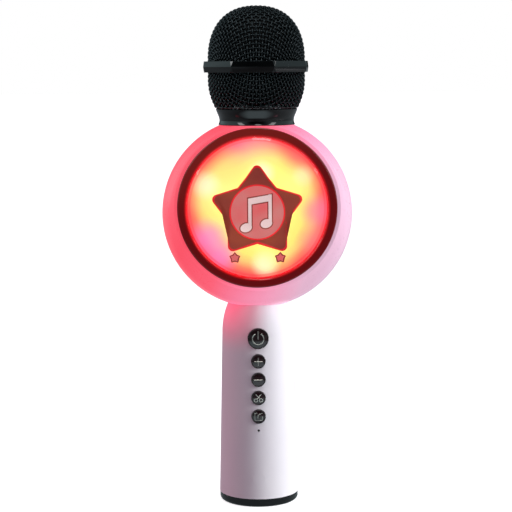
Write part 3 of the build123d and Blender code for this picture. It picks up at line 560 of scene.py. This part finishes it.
def tube_mesh(paths, normals, radius, sides):
    """Closed round wires along many paths."""
    vertices, faces = [], []
    base = 0
    ring_angles = np.arange(sides) * TAU / sides
    for path, normal in zip(paths, normals):
        count = len(path)
        tangent = np.gradient(path, axis=0)
        tangent /= np.linalg.norm(tangent, axis=1, keepdims=True) + 1e-12
        side = np.cross(tangent, normal)
        side /= np.linalg.norm(side, axis=1, keepdims=True) + 1e-12
        lift = np.cross(side, tangent)
        ring = (np.cos(ring_angles)[None, :, None] * lift[:, None, :]
                + np.sin(ring_angles)[None, :, None] * side[:, None, :])
        vertices.append((path[:, None, :] + radius * ring).reshape(-1, 3))
        row = np.arange(count - 1)[:, None] * sides
        first = base + row + np.arange(sides)[None, :]
        second = base + row + (np.arange(sides)[None, :] + 1) % sides
        faces.append(np.stack([first, second, second + sides, first + sides], axis=2).reshape(-1, 4))
        base += count * sides
    return np.concatenate(vertices), np.concatenate(faces)


def quad_mesh(name, vertices, quads):
    mesh = bpy.data.meshes.new(name)
    mesh.vertices.add(len(vertices))
    mesh.vertices.foreach_set("co", np.asarray(vertices, np.float32).ravel())
    mesh.loops.add(quads.size)
    mesh.loops.foreach_set("vertex_index", quads.astype(np.int32).ravel())
    mesh.polygons.add(len(quads))
    mesh.polygons.foreach_set("loop_start", np.arange(0, quads.size, 4, dtype=np.int32))
    mesh.update(calc_edges=True)
    mesh.validate()
    return mesh


def weave(cup, crosswise):
    """Paths of one set of wires, over and under the other set."""
    paths, normals = [], []
    reach = cup.reach
    count = int(reach / WIRE_PITCH)
    step = WIRE_PITCH / WIRE_STEPS
    for index in range(-count, count + 1):
        fixed = index * WIRE_PITCH
        span = math.sqrt(max(reach**2 - fixed**2, 0))
        if span < 2 * WIRE_PITCH:
            continue
        line = np.arange(-span, span + step / 2, step)
        swing = WIRE_SWING * np.cos(math.pi * line / WIRE_PITCH) * (-1) ** index
        if crosswise:
            swing = -swing
            place, normal = cup.at(np.full_like(line, fixed), line)
        else:
            place, normal = cup.at(line, np.full_like(line, fixed))
        inside = np.hypot(line, fixed) >= cup.hole
        place = place + normal * swing[:, None]
        for part in np.split(np.arange(len(line)), np.where(np.diff(inside.astype(int)) != 0)[0] + 1):
            if len(part) > 3 and inside[part[0]]:
                paths.append(place[part])
                normals.append(normal[part])
    return paths, normals


def woven_cup(node, section, hole, flip, material):
    cup = Cup(section, hole, flip)
    for crosswise, word in ((False, "warp"), (True, "weft")):
        paths, normals = weave(cup, crosswise)
        vertices, quads = tube_mesh(paths, normals, WIRE_R, WIRE_SIDES)
        mesh = quad_mesh(f"{node}_{word}", vertices, quads)
        piece_from(f"{node}_{word}", mesh, material, replaces=(node,))


# ---- head ---------------------------------------------------------------------------------------
def lathe(section, steps):
    """Vertices and faces of a closed section (radius, height) turned about the microphone's axis."""
    count = len(section)
    vertices = []
    for ring in range(steps):
        angle = TAU * ring / steps
        for radius, height in section:
            vertices.append((radius * math.cos(angle), radius * math.sin(angle), height))
    faces = []
    for ring in range(steps):
        after = (ring + 1) % steps
        for spot in range(count):
            following = (spot + 1) % count
            faces.append((ring * count + spot, after * count + spot, after * count + following,
                          ring * count + following))
    return vertices, faces


def rounded(points):
    """A section from corners (x, y, rounding radius): each corner becomes an arc."""
    made = []
    total = len(points)
    for index, (x, y, radius) in enumerate(points):
        here = Vector((x, y))
        before = Vector(points[index - 1][:2]) - here
        after = Vector(points[(index + 1) % total][:2]) - here
        half = before.angle(after) / 2
        cut = min(radius / math.tan(half), before.length * 0.49, after.length * 0.49)
        radius = cut * math.tan(half)
        start = here + before.normalized() * cut
        end = here + after.normalized() * cut
        centre = here + (before.normalized() + after.normalized()).normalized() * (radius / math.sin(half))
        spoke = start - centre
        sweep = spoke.angle_signed(end - centre)
        for step in range(7):
            angle = -sweep * step / 6
            spin = Matrix.Rotation(angle, 2)
            point = centre + spin @ spoke
            made.append((point.x, point.y))
    return made


def foam(material):
    """Open-cell foam behind both mesh cups: a lumpy turned skin."""
    dome_r, dome_z = dome_section()
    basket_r, basket_z = basket_section()
    inset = FOAM_INSET
    outer = [(max(r - inset, 0.0), z - inset * 0.8) for r, z in zip(dome_r[::4], dome_z[::4])]
    outer += [(r - inset, z) for r, z in zip(basket_r[::-4], basket_z[::-4])]
    foot = low("foam_liner").z
    outer = [(r, z) for r, z in outer if z > foot]
    inner = [(max(r - FOAM_WALL, 0.0), z - inset if z > BAND_Z else z) for r, z in outer[::-1]]
    vertices, faces = lathe(outer + inner, steps=150)
    lumpy = []
    for vertex in vertices:
        v = Vector(vertex)
        push = noise.noise(v * 900) * FOAM_LUMPS
        flat = Vector((v.x, v.y, v.z - BAND_Z))
        lumpy.append(v + flat.normalized() * push)
    piece = mesh_piece("windscreen_foam", lumpy, faces, material, replaces=("foam_liner",))


BAND_SIDES = 8
BAND_CORNER_R = 28.4 * MM
BAND_CLIP_R = 27.7 * MM
BAND_SLANT = math.radians(6.0)
BAND_TURN = math.radians(18.5)
BAND_BEVEL = 0.16 * MM


def band_ring(material):
    """The anti-roll ring: eight flat sides meeting in a ridge, corners clipped above and below it, and
    every edge a little rounded."""
    sides = BAND_SIDES
    corner_r = BAND_CORNER_R
    half = (BAND_HIGH_Z - BAND_LOW_Z) / 2
    apothem = corner_r * math.cos(math.pi / sides) - half * math.tan(BAND_SLANT)
    reach = math.sqrt(BAND_CLIP_R**2 - apothem**2)
    inner_r = MESH_R - 0.3 * MM
    shape = bmesh.new()
    rows = {level: [] for level in ("low", "middle", "high", "low_in", "high_in")}
    for side in range(sides):
        turn = BAND_TURN + TAU * side / sides
        rows["middle"].append(shape.verts.new((corner_r * math.cos(turn), corner_r * math.sin(turn), BAND_Z)))
        facing = turn + math.pi / sides
        out = Vector((math.cos(facing), math.sin(facing), 0))
        along = Vector((-math.sin(facing), math.cos(facing), 0))
        for sign in (-1, 1):
            edge = out * apothem + along * reach * sign
            inner = edge.normalized() * inner_r
            for level, height in (("low", BAND_LOW_Z), ("high", BAND_HIGH_Z)):
                rows[level].append(shape.verts.new((edge.x, edge.y, height)))
                rows[level + "_in"].append(shape.verts.new((inner.x, inner.y, height)))
    count = 2 * sides
    for side in range(sides):
        left, right = rows["middle"][side], rows["middle"][(side + 1) % sides]
        for level in ("low", "high"):
            near, far = rows[level][2 * side], rows[level][2 * side + 1]
            shape.faces.new((left, right, far, near))
            shape.faces.new((right, rows[level][(2 * side + 2) % count], far))
    for index in range(count):
        after = (index + 1) % count
        for level in ("low", "high"):
            outer, inner = rows[level], rows[level + "_in"]
            shape.faces.new((outer[index], outer[after], inner[after], inner[index]))
        low_in, high_in = rows["low_in"], rows["high_in"]
        shape.faces.new((low_in[index], low_in[after], high_in[after], high_in[index]))
    bmesh.ops.recalc_face_normals(shape, faces=shape.faces)
    sharp = [e for e in shape.edges if e.calc_face_angle(0) > math.radians(4)]
    bmesh.ops.bevel(shape, geom=sharp, offset=BAND_BEVEL, segments=3, profile=0.5, affect="EDGES")
    mesh = bpy.data.meshes.new("anti_roll_band")
    shape.to_mesh(mesh)
    shape.free()
    piece_from("anti_roll_band", mesh, material, replaces=("grille_band",), sharp=24)


def foot_hem(material):
    """The rolled hem where the basket's mesh meets the collar."""
    height = low("grille_basket").z + HEM_RISE
    hem = [(HEM_R + HEM_HALF_WIDTH * math.cos(a), height + HEM_HALF_HEIGHT * math.sin(a))
           for a in np.linspace(0, TAU, 12, endpoint=False)]
    vertices, faces = lathe(hem, steps=160)
    mesh_piece("grille_foot_hem", vertices, faces, material, replaces=("grille_basket",))


# ---- emblem -------------------------------------------------------------------------------------
INK = 0.012 * MM
INK_GAP = 0.002 * MM
INK_STAGGER = 0.0005 * MM
EMBLEM_LIFT = -2.2 * MM
STAR_R = 24.4 * MM
STAR_WAIST_R = 14.7 * MM
STAR_RIM_R = 25.6 * MM
STAR_RIM_WAIST_R = 15.6 * MM
DISC_RIM_R = 14.1 * MM
DISC_INK_R = 13.3 * MM
OUTLINE = 0.7
# Small stars: right and up from the face's middle, and radius, in mm.
SPARKS = ((-11.5, -25.2, 2.4), (11.5, -25.2, 2.4))
NOTE_SCALE = 0.8
NOTE_SHIFT = 1.2 * MM
NOTE_LIFT = 0.4 * MM


def flat_shape(name, outline, depth, material):
    """A layer of ink from an outline of (right, up) points in metres round the face's centre."""
    shape = bmesh.new()
    front = [shape.verts.new((x, -depth - INK, FACE_Z + z)) for x, z in outline]
    back = [shape.verts.new((x, -depth, FACE_Z + z)) for x, z in outline]
    shape.faces.new(front)
    shape.faces.new(back[::-1])
    count = len(outline)
    for index in range(count):
        following = (index + 1) % count
        shape.faces.new((front[index], front[following], back[following], back[index]))
    bmesh.ops.triangulate(shape, faces=[f for f in shape.faces if len(f.verts) > 4])
    mesh = bpy.data.meshes.new(name)
    shape.to_mesh(mesh)
    shape.free()
    return piece_from(name, mesh, material, sharp=30)


def star_outline(outer, inner, lift=0.0):
    """A five-point star with rounded tips."""
    corners = []
    for index in range(10):
        radius = outer if index % 2 == 0 else inner
        angle = math.pi / 2 + index * math.pi / 5
        rounding = outer * 0.1 if index % 2 == 0 else outer * 0.08
        corners.append((radius * math.cos(angle), radius * math.sin(angle) + lift, rounding))
    return rounded(corners)


def oval_outline(x, z, wide, tall, tilt, steps=40):
    points = []
    for step in range(steps):
        angle = TAU * step / steps
        a, b = wide * math.cos(angle), tall * math.sin(angle)
        across = x + a * math.cos(tilt) - b * math.sin(tilt)
        points.append((across, z + a * math.sin(tilt) + b * math.cos(tilt)))
    return points


def note_shapes(grow):
    """The outlines of a pair of beamed notes, each made larger all round by grow."""
    g = grow
    left, right = -6.2 * MM, 6.6 * MM
    stem = 1.05 * MM
    head_w, head_h = 3.7 * MM, 2.75 * MM
    low_l, low_r = -10.2 * MM, -7.6 * MM
    top_l, top_r = 8.2 * MM, 10.8 * MM
    beam = 4.0 * MM
    tilt = math.radians(18)
    return (
        oval_outline(left - 2.4 * MM, low_l, head_w + g, head_h + g, tilt),
        oval_outline(right - 2.4 * MM, low_r, head_w + g, head_h + g, tilt),
        [(left - stem - g, low_l), (left + stem + g, low_l),
         (left + stem + g, top_l), (left - stem - g, top_l)],
        [(right - stem - g, low_r), (right + stem + g, low_r),
         (right + stem + g, top_r), (right - stem - g, top_r)],
        [(left - stem - g, top_l - beam - g), (right + stem + g, top_r - beam - g),
         (right + stem + g, top_r + g), (left - stem - g, top_l + g)],
    )


def emblem():
    """A generic star badge with a pair of music notes, printed on the lit film."""
    rim = printed_ink("ink_rim", (215, 20, 34), (238, 44, 48), 0.72)
    dark = printed_ink("ink_dark", (128, 44, 42), (160, 70, 50), 0.6)
    rose = printed_ink("ink_rose", (226, 92, 96), (214, 134, 130), 0.64)
    pale = printed_ink("ink_pale", (216, 190, 190), (240, 214, 212), 0.72)
    layers = FILM_DEPTH + INK_GAP
    lift = EMBLEM_LIFT
    flat_shape("emblem_star_rim", star_outline(STAR_RIM_R, STAR_RIM_WAIST_R, lift), layers, rim)
    flat_shape("emblem_star", star_outline(STAR_R, STAR_WAIST_R, lift), layers + INK, dark)
    flat_shape("emblem_disc_rim", oval_outline(0, lift, DISC_RIM_R, DISC_RIM_R, 0, 96), layers + 2 * INK, rim)
    flat_shape("emblem_disc", oval_outline(0, lift, DISC_INK_R, DISC_INK_R, 0, 96), layers + 3 * INK, rose)
    for index, (x, z, size) in enumerate(SPARKS):
        for layer, (grow, ink, word) in enumerate(((OUTLINE, dark, "edge"), (0.0, rose, "fill"))):
            outline = star_outline((size + grow) * MM, (size * 0.55 + grow) * MM)
            moved = [(x * MM + a, z * MM + b) for a, b in outline]
            flat_shape(f"emblem_spark_{word}_{index}", moved, layers + (layer + 1) * INK, ink)
    for layer, (grow, ink, word) in enumerate(((OUTLINE * MM, dark, "shadow"), (0.0, pale, "note"))):
        for index, outline in enumerate(note_shapes(grow)):
            moved = [(x * NOTE_SCALE + NOTE_SHIFT, z * NOTE_SCALE + lift + NOTE_LIFT) for x, z in outline]
            depth = layers + (4 + layer) * INK + index * INK_STAGGER
            flat_shape(f"emblem_{word}_{index}", moved, depth, ink)


# ---- button marks -------------------------------------------------------------------------------
POWER_R = 5.35 * MM
SMALL_BUTTON_R = 3.65 * MM
CROWN_SHARE = 0.12
MARK_PROUD = 0.05 * MM
RIM_INSET = 1.3
RIM_WIDTH = 0.5


def crown_depth(node, x, z):
    """How far the button's domed face stands from the middle plane at a point of it."""
    centre = middle(node)
    radius = POWER_R if node == "power_button" else SMALL_BUTTON_R
    rise = CROWN_SHARE * radius
    ball = (radius**2 + rise**2) / (2 * rise)
    crown = -low(node).y
    return crown - ball + math.sqrt(max(ball**2 - (x - centre.x) ** 2 - (z - centre.z) ** 2, 0))


def stroke(name, node, points, width, material, body, closed=False):
    """A raised rounded line on a button's face."""
    centre = middle(node)
    path = []
    for x, z in points:
        px, pz = centre.x + x * MM, centre.z + z * MM
        path.append((px, -crown_depth(node, px, pz) - MARK_PROUD, pz))
    curve = bpy.data.curves.new(name, "CURVE")
    curve.dimensions = "3D"
    curve.bevel_depth = width * MM / 2
    curve.bevel_resolution = 3
    curve.use_fill_caps = True
    spline = curve.splines.new("POLY")
    spline.points.add(len(path) - 1)
    for point, place in zip(spline.points, path):
        point.co = (*place, 1)
    spline.use_cyclic_u = closed
    holder = bpy.data.objects.new(name + "_curve", curve)
    mesh = bpy.data.meshes.new_from_object(holder)
    bpy.data.objects.remove(holder)
    return piece_from(name, mesh, material, body, sharp=50)


def arc_points(radius, begin, end, count=24, x=0.0, z=0.0):
    return [(x + radius * math.cos(math.radians(a)), z + radius * math.sin(math.radians(a)))
            for a in np.linspace(begin, end, count)]


MARKS = {
    "power": ([arc_points(2.9, 118, 422, 40), [(0, 3.9), (0, -0.2)]], 0.62),
    "plus": ([[(-2.1, 0), (2.1, 0)], [(0, -2.1), (0, 2.1)]], 0.55),
    "minus": ([[(-2.1, 0), (2.1, 0)]], 0.55),
    "echo": ([arc_points(0.9, 0, 360, 22, -1.3, -1.1), arc_points(0.9, 0, 360, 22, 1.3, -1.1),
              [(-0.8, -0.35), (1.5, 2.1)], [(0.8, -0.35), (-1.5, 2.1)]], 0.42),
    "mode": ([[(-0.6, 1.9), (-1.9, 1.9), (-1.9, -1.8), (1.9, -1.8), (1.9, 0.2)],
              [(-0.3, -0.9), (-0.3, 0.9), (1.9, 1.9)]], 0.42),
}


def button_marks(rim):
    silver = plated("mark_silver", srgb(190, 184, 176), 0.22)
    for name in BUTTONS:
        lines, width = MARKS[name]
        edge = arc_points(high(f"{name}_button").x / MM - RIM_INSET, 0, 354, 60)
        stroke(f"{name}_rim", f"{name}_button", edge, RIM_WIDTH, rim, f"{name}_key", closed=True)
        for index, points in enumerate(lines):
            stroke(f"{name}_mark_{index}", f"{name}_button", points, width, silver, f"{name}_key")


# ---- studio -------------------------------------------------------------------------------------
FLOOR_HALF = 12.0
KEY_PLACE = (0.96, -0.24, 0.16)
KEY_AIM = (0, 0, 0.12)
KEY_POWER = 16.0
STRIP_AIM = (0, 0, 0.2)
# Strips that only glossy pieces mirror: name, place, power.
STRIPS = (
    ("strip_left", (-0.60, -0.42, 0.66), 1.5),
    ("strip_right", (0.60, -0.42, 0.66), 1.5),
    ("strip_top", (0.04, -0.45, 1.0), 2.0),
)


def floor():
    """White paper that fills the view. What the camera sees of it is lifted to white, and glossy pieces
    mirror it dark, paler far to the sides, with a pale patch close in front of the microphone."""
    size = FLOOR_HALF
    mesh = bpy.data.meshes.new("studio_floor")
    corners = [(-size, -size, 0), (size, -size, 0), (size, size, 0), (-size, size, 0)]
    mesh.from_pydata(corners, [], [(0, 1, 2, 3)])
    s = Shader("floor_paper")
    rays = s.node("ShaderNodeLightPath")
    seen = rays.outputs["Is Camera Ray"]
    across = s.math("ABSOLUTE", s.along((1, 0, 0)))
    aside = s.spread(across, 0.10, 0.45, 0.03, 0.22, smooth=True)
    forward = s.along((0, -1, 0))
    close = s.math("MULTIPLY", s.spread(forward, 0.06, 0.14, 0.2, 1.0, smooth=True),
                   s.spread(forward, 0.24, 0.38, 1.0, 0.0, smooth=True))
    near = s.math("MULTIPLY", s.spread(across, 0.08, 0.24, 1.2, 0.0, smooth=True), close)
    glints = s.math("ADD", aside, near)
    mirrored = s.math("MULTIPLY", rays.outputs["Is Glossy Ray"], glints)
    tone = s.mix(s.spread(s.noise(3.0), 0.3, 0.7, 0.0, 1.0), srgb(226, 226, 228), srgb(230, 230, 230))
    s.set(Base_Color=s.mix(seen, srgb(100, 98, 100), tone), Roughness=0.9, Specular_IOR_Level=0.0)
    s.set(Emission_Color=s.mix(seen, (0.74, 0.95, 1.0, 1.0), (1.0, 1.0, 1.0, 1.0)))
    s.set(Emission_Strength=s.math("ADD", s.math("MULTIPLY", seen, 0.8), mirrored))
    mesh.materials.append(s.material)
    plane = bpy.data.objects.new("studio_floor", mesh)
    bpy.context.scene.collection.objects.link(plane)


def area_light(name, place, aim, width, height, power, colour=(1, 1, 1)):
    lamp = bpy.data.lights.new(name, "AREA")
    lamp.shape = "RECTANGLE"
    lamp.size = width
    lamp.size_y = height
    lamp.energy = power
    lamp.color = colour
    holder = bpy.data.objects.new(name, lamp)
    holder.location = place
    holder.rotation_euler = (Vector(aim) - Vector(place)).to_track_quat("-Z", "Y").to_euler()
    bpy.context.scene.collection.objects.link(holder)
    return holder


def world():
    """White where the camera sees it. As light it is a room that is bright at the sides, more to the left,
    paler overhead, and dark in front and behind. Glossy pieces mirror it dimmer and cooler."""
    made = bpy.data.worlds.new("studio")
    bpy.context.scene.world = made
    made.use_nodes = True
    tree = made.node_tree
    room = tree.nodes["Background"]

    def node(kind, **settings):
        added = tree.nodes.new(kind)
        for key, value in settings.items():
            setattr(added, key, value)
        return added

    def fade(value, near, far, first, last):
        added = node("ShaderNodeMapRange", interpolation_type="SMOOTHSTEP")
        tree.links.new(value, added.inputs["Value"])
        for name, number in zip(("From Min", "From Max", "To Min", "To Max"), (near, far, first, last)):
            added.inputs[name].default_value = number
        return added.outputs["Result"]

    def add(first, second):
        added = node("ShaderNodeMath", operation="ADD")
        tree.links.new(first, added.inputs[0])
        tree.links.new(second, added.inputs[1])
        return added.outputs[0]

    split = node("ShaderNodeSeparateXYZ")
    tree.links.new(node("ShaderNodeTexCoord").outputs["Generated"], split.inputs[0])
    across, up = split.outputs["X"], split.outputs["Z"]
    sides = add(fade(across, 0.25, 0.8, 0.0, 0.8), fade(across, -0.8, -0.25, 1.2, 0.0))
    total = add(sides, fade(up, 0.5, 0.9, 0.02, 0.5))
    rays = node("ShaderNodeLightPath")
    dimmed = node("ShaderNodeMath", operation="MULTIPLY")
    tree.links.new(total, dimmed.inputs[0])
    tree.links.new(fade(rays.outputs["Is Glossy Ray"], 0.0, 1.0, 1.0, 0.7), dimmed.inputs[1])
    tree.links.new(dimmed.outputs[0], room.inputs["Strength"])
    tint = node("ShaderNodeValToRGB")
    tree.links.new(fade(across, -0.4, 0.4, 0.0, 1.0), tint.inputs["Fac"])
    tint.color_ramp.elements[0].color = (0.92, 0.70, 0.82, 1)
    tint.color_ramp.elements[1].color = (0.94, 0.97, 1.0, 1)
    cool = node("ShaderNodeMix", data_type="RGBA")
    tree.links.new(rays.outputs["Is Glossy Ray"], cool.inputs["Factor"])
    tree.links.new(tint.outputs["Color"], cool.inputs["A"])
    cool.inputs["B"].default_value = (0.72, 0.95, 1.0, 1)
    tree.links.new(cool.outputs["Result"], room.inputs["Color"])
    seen = node("ShaderNodeBackground")
    seen.inputs["Color"].default_value = (1, 1, 1, 1)
    mix = node("ShaderNodeMixShader")
    tree.links.new(rays.outputs["Is Camera Ray"], mix.inputs[0])
    tree.links.new(room.outputs[0], mix.inputs[1])
    tree.links.new(seen.outputs[0], mix.inputs[2])
    tree.links.new(mix.outputs[0], tree.nodes["World Output"].inputs["Surface"])


CAMERA_AWAY = 0.810
CAMERA_HEIGHT = 0.2262
CAMERA_PITCH = math.radians(6.9)
CAMERA_ROLL = math.radians(-0.38)
CAMERA_LENS = 110.7
CAMERA_SIDE = -0.0008


def camera():
    data = bpy.data.cameras.new("camera")
    data.lens = CAMERA_LENS
    data.sensor_width = 36.0
    holder = bpy.data.objects.new("camera", data)
    turn = Matrix.Rotation(math.pi / 2 - CAMERA_PITCH, 4, "X") @ Matrix.Rotation(CAMERA_ROLL, 4, "Z")
    holder.matrix_world = Matrix.Translation((CAMERA_SIDE, -CAMERA_AWAY, CAMERA_HEIGHT)) @ turn
    bpy.context.scene.collection.objects.link(holder)
    bpy.context.scene.camera = holder


# ---- making it ----------------------------------------------------------------------------------
materials = make_materials()
slots = {row["node"]: row["material_slot"] for row in frame["record"]["subparts"]}
own_looks = {
    "status_led": finish_material("unlit_led", srgb(120, 112, 96), 0.4),
    "status_light_pipe": finish_material("smoky_pin", srgb(26, 18, 20), 0.3),
}
for node, part in frame["nodes"].items():
    part.data.materials.clear()
    part.data.materials.append(own_looks.get(node, materials[slots[node]]))

woven_cup("grille_dome", dome_section(), 0.0, False, materials["black_mesh"])
woven_cup("grille_basket", basket_section(), BASKET_HOLE_R, True, materials["black_mesh"])
foot_hem(materials["black_gloss"])
band_ring(materials["black_gloss"])
foam(materials["black_foam"])
emblem()
button_marks(materials["button_gloss"])

floor()
world()
key = area_light("key_right", KEY_PLACE, KEY_AIM, 0.45, 0.8, KEY_POWER)
key.visible_glossy = False
for name, place, power in STRIPS:
    strip = area_light(name, place, STRIP_AIM, 0.22, 0.5, power)
    strip.visible_diffuse = False
camera()
bpy.context.scene.view_settings.view_transform = "Standard"
